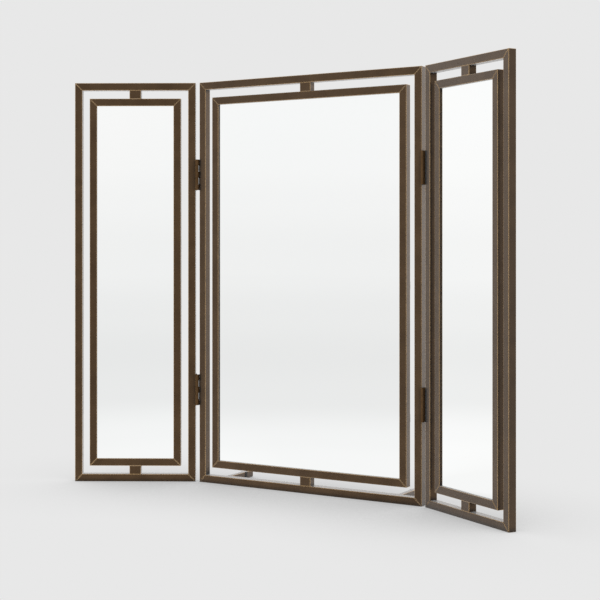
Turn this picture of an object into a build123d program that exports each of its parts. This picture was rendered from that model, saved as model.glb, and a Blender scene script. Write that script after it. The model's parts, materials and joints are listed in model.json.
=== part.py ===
from build123d import *
from dataclasses import dataclass
import os

# A triple dressing table mirror: a wide centre panel and two narrow wings on butt hinges.
# Millimetres. X runs along the centre panel, Y to its back and Z up.
# The origin is on the table, in the middle of the centre panel's underside.

# Panels
panel_height = 650.0
centre_width = 400.0
wing_width = 197.0
wing_rest_fold = 30.0

# Bars of the outer frames, rectangular tube
bar_face = 12.0
bar_depth = 13.0
tube_wall = 1.5
bar_chamfer = 0.5

# Gaps between outer and inner frame, and the blocks that bridge the end gaps
centre_side_gap = 13.0
wing_side_gap = 12.0
end_gap = 13.5
spacer_width = 18.8

# Bars of the inner frames, solid with a rebate at the back
lip_face = 12.0
lip_thickness = 3.0
rebate_wall = 6.0

# Mirror and backing board in the rebate
glass_thickness = 4.0
board_thickness = 3.0
rebate_clearance = 0.5

# Clips that hold the board, and their cheese head screws
clip_length = 12.0
clip_thickness = 1.0
clip_foot = 2.7
clip_reach = 8.0
clip_clearance = 0.3
clips_per_stile = 3
centre_clips_per_rail = 2
wing_clips_per_rail = 1
clip_screw_radius = 1.25
clip_screw_length = 5.0
clip_head_radius = 2.3
clip_head_height = 1.4

# Butt hinges
hinge_height = 50.0
hinge_end_distance = 150.0
knuckle_count = 5
knuckle_gap = 0.3
leaf_thickness = 1.2
leaf_back_margin = 1.6
leaf_relief = 0.3
pin_radius = 1.5
pin_clearance = 0.05
pin_recess = 0.3
barrel_clearance = 0.1

# Countersunk screws of the hinges and of the stand
hinge_screw_radius = 1.5
hinge_screw_head_radius = 2.5
hinge_screw_length = 6.0
hinge_screw_end_distance = 10.0
stand_screw_radius = 2.0
stand_screw_head_radius = 3.6
stand_screw_length = 13.0
stand_screw_count = 4
screw_clearance = 0.05

# Rear stand on the back of the centre panel's bottom rail
stand_bar_thickness = 8.0
stand_bar_height = 10.5
stand_foot_spacing = 310.0
stand_foot_length = 64.0
pad_length = 5.6
pad_end_distance = 18.4
pad_thickness = 1.0
pad_groove = 0.5

# Sizes that follow from the ones above
knuckle_radius = pin_radius + pin_clearance + leaf_thickness
axis_out = knuckle_radius
axis_forward = knuckle_radius + barrel_clearance
leaf_depth = axis_forward + bar_depth - leaf_back_margin
leaf_start = knuckle_radius + leaf_relief
knuckle_pitch = hinge_height / knuckle_count
clip_drop = bar_depth - lip_thickness - glass_thickness - board_thickness
stand_lift = pad_thickness - pad_groove
stand_bar_middle = stand_lift + stand_bar_height / 2
stand_top = stand_lift + stand_bar_height
stand_back = bar_depth + stand_bar_thickness
pad_depth = stand_back + stand_foot_length - pad_end_distance - pad_length
pad_core_width = stand_bar_thickness - 2 * pad_groove

BARS = ["bottom_rail", "right_stile", "top_rail", "left_stile"]
LEVELS = {"lower": hinge_end_distance, "upper": panel_height - hinge_end_distance}

os.makedirs("parts", exist_ok=True)


@dataclass
class Panel:
    """One panel. Its face plane has x along the panel, y up and z out of the front."""

    name: str
    width: float
    side_gap: float
    rail_clips: int
    hinge_sides: tuple
    face: Plane

    def at(self, x, y, z):
        return self.face.from_local_coords((x, y, z))

    def back(self, depth):
        """Plane at a depth behind the front face, looking out of the back."""
        return Plane(self.at(0, 0, -depth), x_dir=-self.face.x_dir, z_dir=-self.face.z_dir)

    def outer_corners(self, inset):
        x = self.width / 2 - inset
        top = panel_height - inset
        return [(-x, inset), (x, inset), (x, top), (-x, top)]

    def inner_corners(self, inset):
        x = self.width / 2 - bar_face - self.side_gap - inset
        low = bar_face + end_gap + inset
        top = panel_height - low
        return [(-x, low), (x, low), (x, top), (-x, top)]


def wing_face(side):
    """Front face plane of a wing at rest, folded forward round its hinge axis."""
    fold = -side * wing_rest_fold
    pivot = Vector(side * (centre_width / 2 + axis_out), -bar_depth / 2 - axis_forward, 0)
    arm = Vector(side * (axis_out + wing_width / 2), axis_forward, 0).rotate(Axis.Z, fold)
    along = Vector(1, 0, 0).rotate(Axis.Z, fold)
    return Plane(pivot + arm, x_dir=along, z_dir=Vector(0, -1, 0).rotate(Axis.Z, fold))


centre = Panel("centre", centre_width, centre_side_gap, centre_clips_per_rail, (-1, 1),
               Plane((0, -bar_depth / 2, 0), x_dir=(1, 0, 0), z_dir=(0, -1, 0)))
left_wing = Panel("left_wing", wing_width, wing_side_gap, wing_clips_per_rail, (1,), wing_face(-1))
right_wing = Panel("right_wing", wing_width, wing_side_gap, wing_clips_per_rail, (-1,), wing_face(1))


def save(piece, label):
    """Name a finished piece and write it to its own file."""
    piece.part.label = label
    export_step(piece.part, f"parts/{label}.step")


def mitred_outline(near, far, index):
    """Outline of one bar of a frame, from its outer to its inner edge, with mitred ends."""
    following = (index + 1) % 4
    return [near[index], near[following], far[following], far[index]]


def spread(start, end, count):
    """Points spread evenly between two corners."""
    shares = [(i + 0.5) / count for i in range(count)]
    return [(start[0] + (end[0] - start[0]) * s, start[1] + (end[1] - start[1]) * s) for s in shares]


def hinge_screw_planes(panel, side, level, lift):
    """Planes of one leaf's screws, at a height above the side face of the stile."""
    rise = hinge_height / 2 - hinge_screw_end_distance
    x = side * (panel.width / 2 + lift)
    return [Plane(panel.at(x, level + dy, -bar_depth / 2), x_dir=panel.face.y_dir,
                  z_dir=panel.face.x_dir * side) for dy in (-rise, rise)]


def stand_screw_planes(depth):
    """Planes of the stand's screws on the centre panel, looking out of the back."""
    half = stand_foot_spacing / 2
    return [Plane(centre.at(x, stand_bar_middle, -depth), x_dir=(-1, 0, 0), z_dir=(0, 1, 0))
            for x, _ in spread((-half, 0), (half, 0), stand_screw_count)]


def clip_locations(panel):
    """Screw position and turn of each clip, on the back of the inner frame."""
    middle = panel.inner_corners(rebate_wall / 2)
    counts = [panel.rail_clips, clips_per_stile, panel.rail_clips, clips_per_stile]
    places = []
    for index, count in enumerate(counts):
        for x, y in spread(middle[index], middle[(index + 1) % 4], count):
            places.append((index, Location((-x, y, 0), (0, 0, -90 * index))))
    return places


# Outer frames: four mitred tubes a panel, with the holes for the hinge and stand screws
def outer_bar(panel, index):
    with BuildPart() as bar:
        with BuildSketch(panel.face):
            with BuildLine():
                Polyline(*mitred_outline(panel.outer_corners(0), panel.outer_corners(bar_face), index),
                         close=True)
            make_face()
        extrude(amount=-bar_depth)
        chamfer(bar.faces().filter_by(panel.face).edges(), length=bar_chamfer)
        with BuildSketch(panel.face.offset(-tube_wall)):
            with BuildLine():
                Polyline(*mitred_outline(panel.outer_corners(tube_wall),
                                         panel.outer_corners(bar_face - tube_wall), index), close=True)
            make_face()
        extrude(amount=2 * tube_wall - bar_depth, mode=Mode.SUBTRACT)
        side = {1: 1, 3: -1}.get(index, 0)
        if side in panel.hinge_sides:
            for level in LEVELS.values():
                with Locations(*hinge_screw_planes(panel, side, level, 0)):
                    Hole(hinge_screw_radius + screw_clearance, depth=2 * tube_wall)
        if panel is centre and index == 0:
            with Locations(*stand_screw_planes(bar_depth)):
                Hole(stand_screw_radius + screw_clearance, depth=2 * tube_wall)
    save(bar, f"{panel.name}_outer_{BARS[index]}")


# Inner frames: four mitred bars a panel, a lip in front and a rebate behind it
def inner_bar(panel, index):
    outside = panel.inner_corners(0)
    with BuildPart() as bar:
        with BuildSketch(panel.face):
            with BuildLine():
                Polyline(*mitred_outline(outside, panel.inner_corners(lip_face), index), close=True)
            make_face()
        extrude(amount=-lip_thickness)
        chamfer(bar.faces().sort_by(Axis(panel.face.origin, panel.face.z_dir))[-1].edges(),
                length=bar_chamfer)
        with BuildSketch(panel.face.offset(-lip_thickness)):
            with BuildLine():
                Polyline(*mitred_outline(outside, panel.inner_corners(rebate_wall), index), close=True)
            make_face()
        extrude(amount=lip_thickness - bar_depth)
        chamfer(bar.faces().sort_by(Axis(panel.face.origin, panel.face.z_dir))[0].edges(),
                length=bar_chamfer)
        places = [place for side, place in clip_locations(panel) if side == index]
        with Locations(panel.back(bar_depth)):
            with Locations(*places):
                Hole(clip_screw_radius + screw_clearance, depth=clip_screw_length)
    save(bar, f"{panel.name}_inner_{BARS[index]}")


# Spacer blocks between the outer and the inner frame
def spacer(panel, end, level):
    with BuildPart() as block:
        with BuildSketch(panel.face):
            with Locations((0, level)):
                Rectangle(spacer_width, end_gap)
        extrude(amount=-bar_depth)
        chamfer(block.edges().filter_by(Axis.Z), length=bar_chamfer)
    save(block, f"{panel.name}_{end}_spacer")


# Mirror and backing board, both loose in the rebate
def rebate_sheet(panel, depth, thickness, label):
    corner = panel.inner_corners(rebate_wall + rebate_clearance)
    with BuildPart() as sheet:
        with BuildSketch(panel.face.offset(-depth)):
            with Locations((0, panel_height / 2)):
                Rectangle(corner[1][0] - corner[0][0], corner[2][1] - corner[1][1])
        extrude(amount=-thickness)
    save(sheet, f"{panel.name}_{label}")


# One stepped clip: a foot on the frame, a web down the rebate and a tongue on the board
web_near = rebate_wall / 2 + clip_clearance
web_far = web_near + clip_thickness
tongue_end = rebate_wall / 2 + clip_reach
with BuildPart() as clip:
    with BuildSketch(Plane.YZ.offset(-clip_length / 2)):
        with BuildLine():
            Polyline((-clip_foot, 0), (-clip_foot, clip_thickness), (web_far, clip_thickness),
                     (web_far, clip_thickness - clip_drop), (tongue_end, clip_thickness - clip_drop),
                     (tongue_end, -clip_drop), (web_near, -clip_drop), (web_near, 0), close=True)
        make_face()
    extrude(amount=clip_length)
    with Locations((0, 0, clip_thickness)):
        Hole(clip_screw_radius + screw_clearance, depth=clip_thickness)

# Cheese head screw, its head seated on z = 0
with BuildPart() as clip_screw:
    with BuildSketch(Plane.XZ):
        with BuildLine():
            Polyline((0, clip_head_height), (0, -clip_screw_length), (clip_screw_radius, -clip_screw_length),
                     (clip_screw_radius, 0), (clip_head_radius, 0), (clip_head_radius, clip_head_height),
                     close=True)
        make_face()
    revolve(axis=Axis.Z)


def clips(panel):
    places = [place for _, place in clip_locations(panel)]
    with BuildPart() as group:
        with Locations(panel.back(bar_depth)):
            with Locations(*places):
                add(clip.part)
    save(group, f"{panel.name}_board_clips")


def clip_screws(panel):
    places = [place for _, place in clip_locations(panel)]
    with BuildPart() as group:
        with Locations(panel.back(bar_depth + clip_thickness)):
            with Locations(*places):
                add(clip_screw.part)
    save(group, f"{panel.name}_clip_screws")


def countersunk_profile(radius, head_radius, length):
    """Half section of a countersunk screw with its head flush with z = 0."""
    return [(0, 0), (head_radius, 0), (radius, radius - head_radius), (radius, -length), (0, -length)]


with BuildPart() as hinge_screw:
    with BuildSketch(Plane.XZ):
        with BuildLine():
            Polyline(*countersunk_profile(hinge_screw_radius, hinge_screw_head_radius, hinge_screw_length),
                     close=True)
        make_face()
    revolve(axis=Axis.Z)

with BuildPart() as stand_screw:
    with BuildSketch(Plane.XZ):
        with BuildLine():
            Polyline(*countersunk_profile(stand_screw_radius, stand_screw_head_radius, stand_screw_length),
                     close=True)
        make_face()
    revolve(axis=Axis.Z)


def hinge_screws(panel):
    with BuildPart() as group:
        for side in panel.hinge_sides:
            for level in LEVELS.values():
                with Locations(*hinge_screw_planes(panel, side, level, leaf_thickness)):
                    add(hinge_screw.part)
    save(group, f"{panel.name}_hinge_screws")


# Hinge leaf: a plate on the stile's side face whose knuckles are rolled round the pin
def hinge_leaf(panel, side, level, knuckles, label):
    foot = panel.at(side * (panel.width / 2 + axis_out), level - hinge_height / 2, axis_forward)
    barrel = Plane(foot, x_dir=panel.face.x_dir, z_dir=panel.face.y_dir)
    plate_x = side * (leaf_thickness / 2 - axis_out)
    with BuildPart() as leaf:
        with BuildSketch(barrel):
            with Locations((plate_x, (leaf_start + leaf_depth) / 2)):
                Rectangle(leaf_thickness, leaf_depth - leaf_start)
        extrude(amount=hinge_height)
        for knuckle in knuckles:
            with BuildSketch(barrel.offset(knuckle * knuckle_pitch + knuckle_gap / 2)):
                Circle(knuckle_radius)
                with Locations((plate_x, leaf_start / 2)):
                    Rectangle(leaf_thickness, leaf_start)
                Circle(pin_radius + pin_clearance, mode=Mode.SUBTRACT)
            extrude(amount=knuckle_pitch - knuckle_gap)
        with Locations(*hinge_screw_planes(panel, side, level, leaf_thickness)):
            CounterSinkHole(hinge_screw_radius + screw_clearance, hinge_screw_head_radius + screw_clearance,
                            depth=leaf_thickness, counter_sink_angle=90)
    save(leaf, label)


def hinge_pins():
    with BuildPart() as pins:
        for side in centre.hinge_sides:
            for level in LEVELS.values():
                foot = centre.at(side * (centre_width / 2 + axis_out),
                                 level - hinge_height / 2 + pin_recess, axis_forward)
                with BuildSketch(Plane(foot, z_dir=(0, 0, 1))):
                    Circle(pin_radius)
                extrude(amount=hinge_height - 2 * pin_recess)
    save(pins, "hinge_pins")


# Rear stand: a cross bar screwed behind the bottom rail, and two feet that reach back from it
def stand_cross_bar():
    with BuildPart() as bar:
        with BuildSketch(centre.back(bar_depth)):
            with Locations((0, stand_bar_middle)):
                Rectangle(stand_foot_spacing + stand_bar_thickness, stand_bar_height)
        extrude(amount=stand_bar_thickness)
        chamfer(bar.edges().filter_by(Axis.X), length=bar_chamfer)
        with Locations(*stand_screw_planes(stand_back)):
            CounterSinkHole(stand_screw_radius + screw_clearance, stand_screw_head_radius + screw_clearance,
                            depth=stand_bar_thickness, counter_sink_angle=90)
    save(bar, "stand_cross_bar")


def stand_foot(side, label):
    with BuildPart() as foot:
        with BuildSketch(centre.back(stand_back)):
            with Locations((-side * stand_foot_spacing / 2, stand_bar_middle)):
                Rectangle(stand_bar_thickness, stand_bar_height)
        extrude(amount=stand_foot_length)
        chamfer(foot.edges().filter_by(Axis.Y), length=bar_chamfer)
        chamfer(foot.faces().sort_by(Axis.Y)[-1].edges(), length=bar_chamfer)
        with BuildSketch(centre.back(pad_depth)):
            with Locations((-side * stand_foot_spacing / 2, stand_bar_middle)):
                Rectangle(2 * stand_bar_thickness, 2 * stand_bar_height)
            with Locations((-side * stand_foot_spacing / 2, stand_bar_middle + pad_groove)):
                Rectangle(pad_core_width, stand_bar_height, mode=Mode.SUBTRACT)
        extrude(amount=pad_length, mode=Mode.SUBTRACT)
    save(foot, label)


# Foot pads: rubber saddles pressed into the grooves, each a U that stands on the table
def foot_pads():
    with BuildPart() as pads:
        for side in (-1, 1):
            with BuildSketch(centre.back(pad_depth)):
                with Locations((side * stand_foot_spacing / 2, stand_top / 2)):
                    Rectangle(pad_core_width + 2 * pad_thickness, stand_top)
                with Locations((side * stand_foot_spacing / 2, stand_top)):
                    Rectangle(pad_core_width, 2 * (stand_bar_height - pad_groove), mode=Mode.SUBTRACT)
            extrude(amount=pad_length)
    save(pads, "foot_pads")


def stand_screws():
    with BuildPart() as group:
        with Locations(*stand_screw_planes(stand_back)):
            add(stand_screw.part)
    save(group, "stand_screws")


for panel in (centre, left_wing, right_wing):
    for index in range(4):
        outer_bar(panel, index)
        inner_bar(panel, index)
    spacer(panel, "bottom", bar_face + end_gap / 2)
    spacer(panel, "top", panel_height - bar_face - end_gap / 2)
    rebate_sheet(panel, lip_thickness, glass_thickness, "mirror")
    rebate_sheet(panel, lip_thickness + glass_thickness, board_thickness, "backing_board")
    clips(panel)
    clip_screws(panel)
    hinge_screws(panel)

for side, wing in ((-1, left_wing), (1, right_wing)):
    for name, level in LEVELS.items():
        hinge = f"{wing.name.removesuffix('_wing')}_{name}_hinge"
        hinge_leaf(centre, side, level, range(0, knuckle_count, 2), f"{hinge}_centre_leaf")
        hinge_leaf(wing, -side, level, range(1, knuckle_count, 2), f"{hinge}_wing_leaf")
hinge_pins()

stand_cross_bar()
stand_foot(-1, "left_rear_foot")
stand_foot(1, "right_rear_foot")
foot_pads()
stand_screws()
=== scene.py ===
# %% [markdown]
# # A folding dressing table mirror
# The object is a wide centre panel with a narrow wing on each side. Every panel is an open
# outer frame of rectangular tube round a framed mirror. This notebook gives them their
# finishes, a pale studio and the camera of the photograph, and it models nothing new but
# the studio floor. Sizes are in metres.

# %% Load the measured solids
import json
import math
import bmesh
import bpy
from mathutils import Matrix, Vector

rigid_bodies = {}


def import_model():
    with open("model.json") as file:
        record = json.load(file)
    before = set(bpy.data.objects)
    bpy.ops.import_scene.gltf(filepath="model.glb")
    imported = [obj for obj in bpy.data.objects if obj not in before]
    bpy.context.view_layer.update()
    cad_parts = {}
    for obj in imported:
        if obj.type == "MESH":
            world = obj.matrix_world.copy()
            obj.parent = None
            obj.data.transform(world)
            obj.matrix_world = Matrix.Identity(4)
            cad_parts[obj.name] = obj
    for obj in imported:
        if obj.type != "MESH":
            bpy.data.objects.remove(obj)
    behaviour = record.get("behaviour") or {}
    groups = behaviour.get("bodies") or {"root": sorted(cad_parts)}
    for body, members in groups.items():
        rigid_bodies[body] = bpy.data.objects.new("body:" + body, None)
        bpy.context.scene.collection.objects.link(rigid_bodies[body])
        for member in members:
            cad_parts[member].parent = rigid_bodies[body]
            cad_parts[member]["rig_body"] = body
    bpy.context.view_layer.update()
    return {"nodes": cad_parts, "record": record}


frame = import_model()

nodes = frame["nodes"]

# %% [markdown]
# ## The camera
# The photographer kept the camera level, so that the uprights stay parallel, and shifted the
# picture downwards instead of tilting. The place, the turn and the focal length come from
# fitting the corners of the frames to the picture, which is 600 by 600 pixels.

# %% Camera
PICTURE = 600
FOCAL_PIXELS = 1327.683
HORIZON_ROW = 244.534
CAMERA_PLACE = (1.052314, -1.777261, 0.386487)
CAMERA_TURN = 30.937

lens = bpy.data.cameras.new("studio_lens")
lens.sensor_width = 36
lens.lens = FOCAL_PIXELS / PICTURE * lens.sensor_width
lens.shift_y = (HORIZON_ROW - PICTURE / 2) / PICTURE
camera = bpy.data.objects.new("studio_camera", lens)
camera.location = CAMERA_PLACE
camera.rotation_euler = (math.radians(90), 0, math.radians(CAMERA_TURN))
bpy.context.scene.collection.objects.link(camera)
bpy.context.scene.camera = camera
print("lens", round(lens.lens, 2), "mm, shift", round(lens.shift_y, 4))

# %% [markdown]
# ## Helpers for node networks
# A finish is a small network of nodes. These helpers add a node and feed its inputs, each
# with a constant or with the output of another node, so that each finish below reads as a
# list of its layers.

# %% Node helpers
def feed(tree, socket, value):
    """Gives an input a constant, or links it to the output that feeds it."""
    if isinstance(value, bpy.types.NodeSocket):
        tree.links.new(value, socket)
    else:
        socket.default_value = value


def add_node(tree, kind, inputs=None, **settings):
    """Adds a node, with its settings, and its inputs by name or by number."""
    node = tree.nodes.new(kind)
    for key, value in settings.items():
        setattr(node, key, value)
    for key, value in (inputs or {}).items():
        feed(tree, node.inputs[key], value)
    return node


def new_finish(name):
    """A new material, with its node tree and its shader."""
    finish = bpy.data.materials.new(name)
    finish.use_nodes = True
    return finish, finish.node_tree, finish.node_tree.nodes["Principled BSDF"]


def set_shader(tree, shader, **values):
    """Sets the shader's inputs. Constants stay on its own sockets, for the export to keep."""
    for key, value in values.items():
        feed(tree, shader.inputs[key.replace("_", " ")], value)


print("node helpers ready")

# %% [markdown]
# ## Helpers for patterns
# Patterns are read from Object coordinates, which stay on the piece when a wing turns.
# Colours are written as they would be picked from a screen.

# %% Pattern helpers
def colour(red, green, blue):
    """A colour from 0 to 255, turned into light values."""
    def light(v):
        v /= 255
        return v / 12.92 if v <= 0.04045 else ((v + 0.055) / 1.055) ** 2.4
    return (light(red), light(green), light(blue), 1)


def object_noise(tree, scale, detail=3.0, stretch=(1, 1, 1)):
    """Cloudy noise that is fixed to the piece, with about `scale` clouds to the metre."""
    place = add_node(tree, "ShaderNodeTexCoord").outputs["Object"]
    turned = add_node(tree, "ShaderNodeMapping", {"Vector": place, "Scale": stretch})
    noise = add_node(tree, "ShaderNodeTexNoise",
                     {"Vector": turned.outputs["Vector"], "Scale": scale, "Detail": detail})
    return noise.outputs["Fac"]


def remap(tree, value, low, high, to_low, to_high):
    """Stretches a value from one range to another, and stops it at the ends."""
    node = add_node(tree, "ShaderNodeMapRange",
                    {"Value": value, "From Min": low, "From Max": high,
                     "To Min": to_low, "To Max": to_high})
    return node.outputs["Result"]


def multiply(tree, first, second):
    node = add_node(tree, "ShaderNodeMath", {0: first, 1: second}, operation="MULTIPLY")
    return node.outputs["Value"]


def blend_colours(tree, share, first, second):
    """The first colour where the share is 0, and the second where it is 1."""
    node = add_node(tree, "ShaderNodeMix", {0: share, 6: first, 7: second}, data_type="RGBA")
    return node.outputs[2]


def grain_bump(tree, height, strength, depth):
    node = add_node(tree, "ShaderNodeBump",
                    {"Height": height, "Strength": strength, "Distance": depth})
    return node.outputs["Normal"]


print("pattern helpers ready")

# %% [markdown]
# ## Finding edges and corners
# The Bevel node rounds the normal near an edge. Where that rounded normal turns away from
# the flat face, the piece has an edge. The Ambient Occlusion node tells how free a face
# stands, so it finds the corners and gaps that a cloth doesn't reach, where the bronze
# gets painted shade.

# %% Edges and corners
# How well the rounded and the flat normal agree where an edge starts, and on the edge.
EDGE_STARTS, EDGE_FULL = 0.998, 0.97


def edge_rub(tree, reach):
    """1 on the edges of a piece, and 0 from `reach` metres in."""
    rounded = add_node(tree, "ShaderNodeBevel", {"Radius": reach}, samples=8)
    flat = add_node(tree, "ShaderNodeNewGeometry")
    same = add_node(tree, "ShaderNodeVectorMath",
                    {0: rounded.outputs["Normal"], 1: flat.outputs["True Normal"]},
                    operation="DOT_PRODUCT")
    return remap(tree, same.outputs["Value"], EDGE_STARTS, EDGE_FULL, 0.0, 1.0)


def open_share(tree, reach):
    """1 where a face stands free, and less in gaps narrower than `reach` metres."""
    node = add_node(tree, "ShaderNodeAmbientOcclusion", {"Distance": reach}, samples=6)
    return node.outputs["AO"]


print("edge and corner finders ready")

# %% [markdown]
# ## How bronze is rubbed
# The patina is two browns in slow clouds. A near-black painted shade darkens the corners
# and narrow gaps, and a dull gold shows along every edge and mitre that a cloth reaches.
# The gloss changes a little from place to place, and a very fine grain breaks it up.

# %% Rubbed bronze
# The darkest brown is painted shade, laid into corners and narrow gaps.
GAP_SHADE_BROWN = colour(22, 14, 8)
GOLD = colour(214, 178, 128)
CORNER_REACH = 0.008
CLOUDS, PATCHES, GLOSS_CLOUDS, GRAIN = 38, 90, 220, 1500


def patina_and_gap_shade(tree, dark, light, free):
    """Browns in clouds, and painted shade where the face doesn't stand free."""
    clouds = object_noise(tree, CLOUDS, 4)
    browns = blend_colours(tree, remap(tree, clouds, 0.35, 0.65, 0, 1), dark, light)
    # Painted shade: the near-black brown darkens the face where ambient occlusion finds it hemmed
    # in.
    return blend_colours(tree, remap(tree, free, 0.45, 0.97, 0.0, 1.0), GAP_SHADE_BROWN, browns)


def gold_shown(tree, reach, gold_share, free):
    """How much gold shows: only on free edges, and a little patchy."""
    patchy = remap(tree, object_noise(tree, PATCHES, 3), 0.3, 0.6, 0.8, 1.0)
    reached = multiply(tree, patchy, remap(tree, free, 0.55, 0.75, 0.0, gold_share))
    return multiply(tree, edge_rub(tree, reach), reached)


def rubbed_bronze(name, dark, light, reach, gold_share, gloss_range, **constants):
    finish, tree, shader = new_finish(name)
    free = open_share(tree, CORNER_REACH)
    # The base colour is gold wear over the browns, with painted shade in the gaps.
    worn_and_shaded = blend_colours(tree, gold_shown(tree, reach, gold_share, free),
                         patina_and_gap_shade(tree, dark, light, free), GOLD)
    gloss = remap(tree, object_noise(tree, GLOSS_CLOUDS, 3), 0.3, 0.7, *gloss_range)
    bump = grain_bump(tree, object_noise(tree, GRAIN, 2), 0.06, 0.0002)
    set_shader(tree, shader, Base_Color=worn_and_shaded, Roughness=gloss, Normal=bump, **constants)
    return finish


print("rubbed bronze ready")

# %% [markdown]
# ## The frames' bronze and the hinges' bronze
# The tubes are metal under a thin clear lacquer. A metal takes its colour from what it
# reflects, so the narrow gaps between the frames go dark, and painted shade in the corners
# darkens them further. The lacquer turns the faces that are seen at a low angle grey. The
# hinges have a thick, dull patina without lacquer, so they neither shine nor mirror, and
# their many small edges are rubbed far less.

# %% Bronze finishes
frame_bronze = rubbed_bronze("frame_bronze", colour(70, 51, 30), colour(79, 59, 37), 0.0006, 1.0,
                             (0.24, 0.30), Metallic=1.0, Coat_Weight=0.3, Coat_Roughness=0.2,
                             Coat_IOR=1.25, Sheen_Weight=0.5, Sheen_Roughness=0.5)
hinge_bronze = rubbed_bronze("hinge_bronze", colour(86, 64, 42), colour(98, 75, 51), 0.0002, 0.2,
                             (0.45, 0.55), Metallic=0.0, IOR=1.2, Specular_IOR_Level=0.0)
print("bronze finishes:", frame_bronze.name, hinge_bronze.name)

# %% [markdown]
# ## Mirror
# A mirror is silver behind clear glass. The silver layer takes nearly all the light, so the
# front is a bright metal. Its roughness is very low, so that it shows the studio sharply, and
# a very slow noise in it keeps the reflection from looking like a computer's perfect one.

# %% Mirror
mirror_silver, tree, shader = new_finish("mirror_silver")
silver = blend_colours(tree, object_noise(tree, 2.5, 1), colour(247, 249, 249),
                       colour(250, 250, 249))
polish = remap(tree, object_noise(tree, 6, 2), 0.3, 0.7, 0.02, 0.03)
set_shader(tree, shader, Base_Color=silver, Roughness=polish, Metallic=1.0, IOR=1.5)
print("mirror:", mirror_silver.name)

# %% [markdown]
# ## Backing board
# The board behind each mirror is brown hardboard, with pressed fibres that lie a little
# along its height and stand out as a fine bump.

# %% Backing board
hardboard, tree, shader = new_finish("hardboard")
fibres = object_noise(tree, 420, 5, stretch=(1, 1, 0.35))
board = blend_colours(tree, remap(tree, fibres, 0.35, 0.65, 0, 1), colour(98, 72, 48),
                      colour(132, 101, 70))
set_shader(tree, shader, Base_Color=board, Roughness=remap(tree, fibres, 0.3, 0.7, 0.55, 0.7),
           Normal=grain_bump(tree, fibres, 0.25, 0.0003))
print("backing board:", hardboard.name)

# %% [markdown]
# ## Clips and screws
# The clips that hold the boards, and all screws but the hinges', are zinc plated steel. The
# zinc has faint light and dark grains, and its gloss changes with them.

# %% Clips and screws
zinc, tree, shader = new_finish("zinc_plate")
spangle = object_noise(tree, 260, 3)
plate = blend_colours(tree, remap(tree, spangle, 0.35, 0.65, 0, 1), colour(168, 170, 170),
                      colour(200, 201, 198))
set_shader(tree, shader, Base_Color=plate, Roughness=remap(tree, spangle, 0.3, 0.7, 0.3, 0.45),
           Metallic=0.9)
print("clips and screws:", zinc.name)

# %% [markdown]
# ## Foot pads
# The pads under the rear feet are black rubber with a little dust on it.

# %% Foot pads
rubber, tree, shader = new_finish("pad_rubber")
dust = object_noise(tree, 500, 3)
pad = blend_colours(tree, remap(tree, dust, 0.35, 0.7, 0, 1), colour(38, 37, 36),
                    colour(56, 55, 53))
set_shader(tree, shader, Base_Color=pad, Roughness=remap(tree, dust, 0.3, 0.7, 0.7, 0.85))
print("foot pads:", rubber.name)

# %% [markdown]
# ## Dress the solids
# The record gives each solid a material slot. A finish is chosen by that slot, so no solid
# can be missed.

# %% Dress the solids
FINISHES = {"bronze_paint": frame_bronze, "hinge_bronze": hinge_bronze,
            "mirror_glass": mirror_silver, "backing_board": hardboard,
            "zinc_steel": zinc, "rubber_pad": rubber}
for entry in frame["record"]["subparts"]:
    piece = nodes[entry["node"]]
    piece.data.materials.clear()
    piece.data.materials.append(FINISHES[entry["material_slot"]])

# %% [markdown]
# ## The studio
# The mirror stands in a pale paper studio with no edge between floor and wall. What the
# camera and the mirrors see of the studio is set apart from the light that falls on the
# object, so these helpers tell the kinds of rays apart and draw the greys that shiny faces
# show.

# %% Studio helpers
PAPER = colour(232, 232, 232)


def seen_rays(tree):
    """1 for what the camera sees, and 1 for what shines back or shows through."""
    rays = add_node(tree, "ShaderNodeLightPath")
    shine = add_node(tree, "ShaderNodeMath", {0: rays.outputs["Is Glossy Ray"],
                                              1: rays.outputs["Is Transmission Ray"]},
                     operation="MAXIMUM")
    return rays.outputs["Is Camera Ray"], shine.outputs[0]


def grey_ramp(tree, value, stops):
    """A ramp of greys, from pairs of position and light value."""
    ramp = add_node(tree, "ShaderNodeValToRGB", {"Fac": value})
    ramp.color_ramp.interpolation = "EASE"
    while len(ramp.color_ramp.elements) < len(stops):
        ramp.color_ramp.elements.new(1.0)
    for element, (position, grey) in zip(ramp.color_ramp.elements, stops):
        element.position = position
        element.color = (grey, grey, grey, 1)
    return ramp.outputs["Color"]


def side_gain(tree, direction):
    """The studio is a little brighter at the far left, and darker at the far right."""
    side = add_node(tree, "ShaderNodeSeparateXYZ", {"Vector": direction}).outputs["X"]
    left = remap(tree, side, -0.6, -1.0, 1.0, 1.045)
    return multiply(tree, left, remap(tree, side, 0.65, 1.0, 1.0, 0.78))


print("studio helpers ready")

# %% [markdown]
# ## The world
# The world lights the object as an even white dome. The camera sees the paper backdrop
# instead of it, and shiny faces see walls that get paler with height.

# %% World
WALL_LOW, WALL_HIGH = -0.1, 0.2
WALL_GREYS = [(0.0, 0.905), (0.33, 0.917), (0.44, 0.945), (0.54, 0.97), (0.67, 0.98),
              (1.0, 0.98)]

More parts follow.
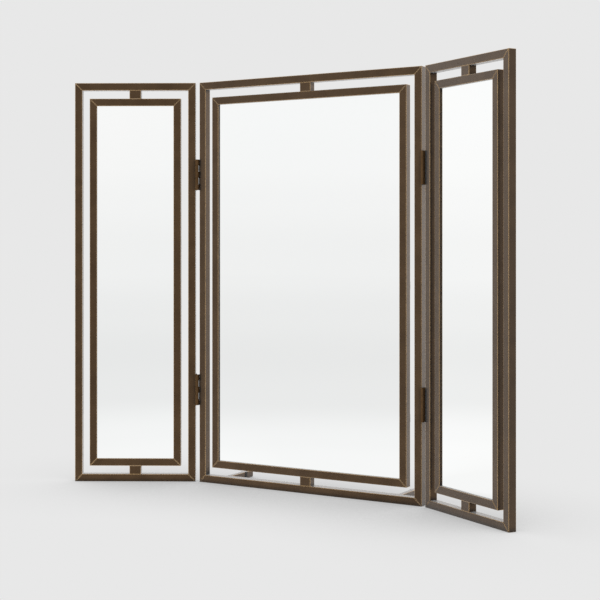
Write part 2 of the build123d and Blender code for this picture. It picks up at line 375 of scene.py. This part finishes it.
world = bpy.data.worlds.new("studio_world")
bpy.context.scene.world = world
world.use_nodes = True
tree = world.node_tree
tree.nodes.clear()
to_camera, to_shine = seen_rays(tree)
direction = add_node(tree, "ShaderNodeTexCoord").outputs["Generated"]
height = add_node(tree, "ShaderNodeSeparateXYZ", {"Vector": direction}).outputs["Z"]
walls = grey_ramp(tree, remap(tree, height, WALL_LOW, WALL_HIGH, 0.0, 1.0), WALL_GREYS)
light = add_node(tree, "ShaderNodeBackground", {"Color": (1, 1, 1, 1), "Strength": 1.0})
tent = add_node(tree, "ShaderNodeBackground",
                {"Color": walls, "Strength": side_gain(tree, direction)})
backdrop = add_node(tree, "ShaderNodeBackground", {"Color": PAPER, "Strength": 1.0})
lit = add_node(tree, "ShaderNodeMixShader",
               {0: to_shine, 1: light.outputs[0], 2: tent.outputs[0]})
both = add_node(tree, "ShaderNodeMixShader",
                {0: to_camera, 1: lit.outputs[0], 2: backdrop.outputs[0]})
add_node(tree, "ShaderNodeOutputWorld", {"Surface": both.outputs[0]})
print("world light", light.inputs["Strength"].default_value)

# %% [markdown]
# ## The softbox
# One large, weak lamp stands behind the object on its right. It lifts the faces that look
# that way, as in the photograph.

# %% Softbox
OBJECT_MIDDLE = Vector((0, 0, 0.33))

softbox = bpy.data.lights.new("studio_softbox", "AREA")
softbox.shape = "RECTANGLE"
softbox.size, softbox.size_y = 1.8, 2.2
softbox.energy = 3.0
lamp = bpy.data.objects.new("studio_softbox", softbox)
lamp.location = (1.5, 2.5, 0.6)
aim = OBJECT_MIDDLE - lamp.location
lamp.rotation_euler = aim.to_track_quat("-Z", "Y").to_euler()
lamp.visible_camera = False
bpy.context.scene.collection.objects.link(lamp)
print("softbox", softbox.energy, "W")

# %% [markdown]
# ## The floor as the camera sees it
# The camera sees paper of one even tone. It darkens only where the object hides the sky from
# it, which is the object's soft shadow.

# %% Floor shadow
SHADOW_REACH = 0.31
SHADOW_CURVE = 1.5
SHADOW_DEEPEST = 0.04

floor_finish, tree, shader = new_finish("studio_floor")
tree.nodes.remove(shader)
open_sky = add_node(tree, "ShaderNodeAmbientOcclusion", {"Distance": SHADOW_REACH}, samples=8)
hidden = add_node(tree, "ShaderNodeMath", {0: 1.0, 1: open_sky.outputs["AO"]},
                  operation="SUBTRACT").outputs[0]
curve = add_node(tree, "ShaderNodeMath", {0: hidden, 1: SHADOW_CURVE},
                 operation="POWER").outputs[0]
shade = remap(tree, curve, 0.0, 1.0, 1.0, SHADOW_DEEPEST)
plain = add_node(tree, "ShaderNodeEmission", {"Color": PAPER, "Strength": shade})
print("floor shadow reaches", SHADOW_REACH, "m")

# %% [markdown]
# ## The floor as shiny faces see it
# The mirrors show the floor bright by the object, greyer a metre or two away and paler again
# towards the walls. This glow is kept out of the light that falls on the object, which the
# floor gives back as plain matt paper.

# %% Floor glow
FLOOR_REACH = 12.0
FLOOR_GREYS = [(0.03, 0.98), (0.046, 0.96), (0.1, 0.866), (0.2, 0.85), (0.39, 0.875),
               (1.0, 0.908)]

place = add_node(tree, "ShaderNodeTexCoord").outputs["Object"]
distance = add_node(tree, "ShaderNodeVectorMath", {0: place}, operation="LENGTH").outputs["Value"]
glow = grey_ramp(tree, remap(tree, distance, 0.0, FLOOR_REACH, 0.0, 1.0), FLOOR_GREYS)
bearing = add_node(tree, "ShaderNodeVectorMath", {0: place},
                   operation="NORMALIZE").outputs["Vector"]
shown = add_node(tree, "ShaderNodeEmission", {"Color": glow, "Strength": side_gain(tree, bearing)})
matte = add_node(tree, "ShaderNodeBsdfDiffuse", {"Color": PAPER})
to_camera, to_shine = seen_rays(tree)
first = add_node(tree, "ShaderNodeMixShader",
                 {0: to_camera, 1: matte.outputs[0], 2: plain.outputs[0]})
last = add_node(tree, "ShaderNodeMixShader",
                {0: to_shine, 1: first.outputs[0], 2: shown.outputs[0]})
tree.links.new(last.outputs[0], tree.nodes["Material Output"].inputs["Surface"])
floor_finish.cycles.emission_sampling = "NONE"
print("floor glow over", FLOOR_REACH, "m")

# %% [markdown]
# ## The floor itself
# The floor is one large flat sheet under the object. It belongs to the stage, not to the
# object.

# %% Floor
grid = bmesh.new()
bmesh.ops.create_grid(grid, x_segments=1, y_segments=1, size=FLOOR_REACH)
floor_mesh = bpy.data.meshes.new("studio_floor")
grid.to_mesh(floor_mesh)
grid.free()
floor_mesh.materials.append(floor_finish)
floor = bpy.data.objects.new("studio_floor", floor_mesh)
bpy.context.scene.collection.objects.link(floor)
print("floor", floor.dimensions[:])

# %% [markdown]
# ## The left wing and the right-hand mirror
# In the photograph the right-hand mirror and the bronze round it shine back the pale studio
# alone. A real one, turned this far, would also show the left wing, so the left wing is kept
# out of what shiny surfaces see in this studio. It stays as it is in every other way.

# %% Left wing in reflections
for piece in nodes.values():
    if piece["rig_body"] == "left_wing":
        piece.visible_glossy = False
print("left wing kept out of reflections")

# %% [markdown]
# ## Finish
# Colours should come out as they were picked, so the view transform is Standard.

# %% Finish
bpy.context.scene.view_settings.view_transform = "Standard"
bpy.context.view_layer.update()
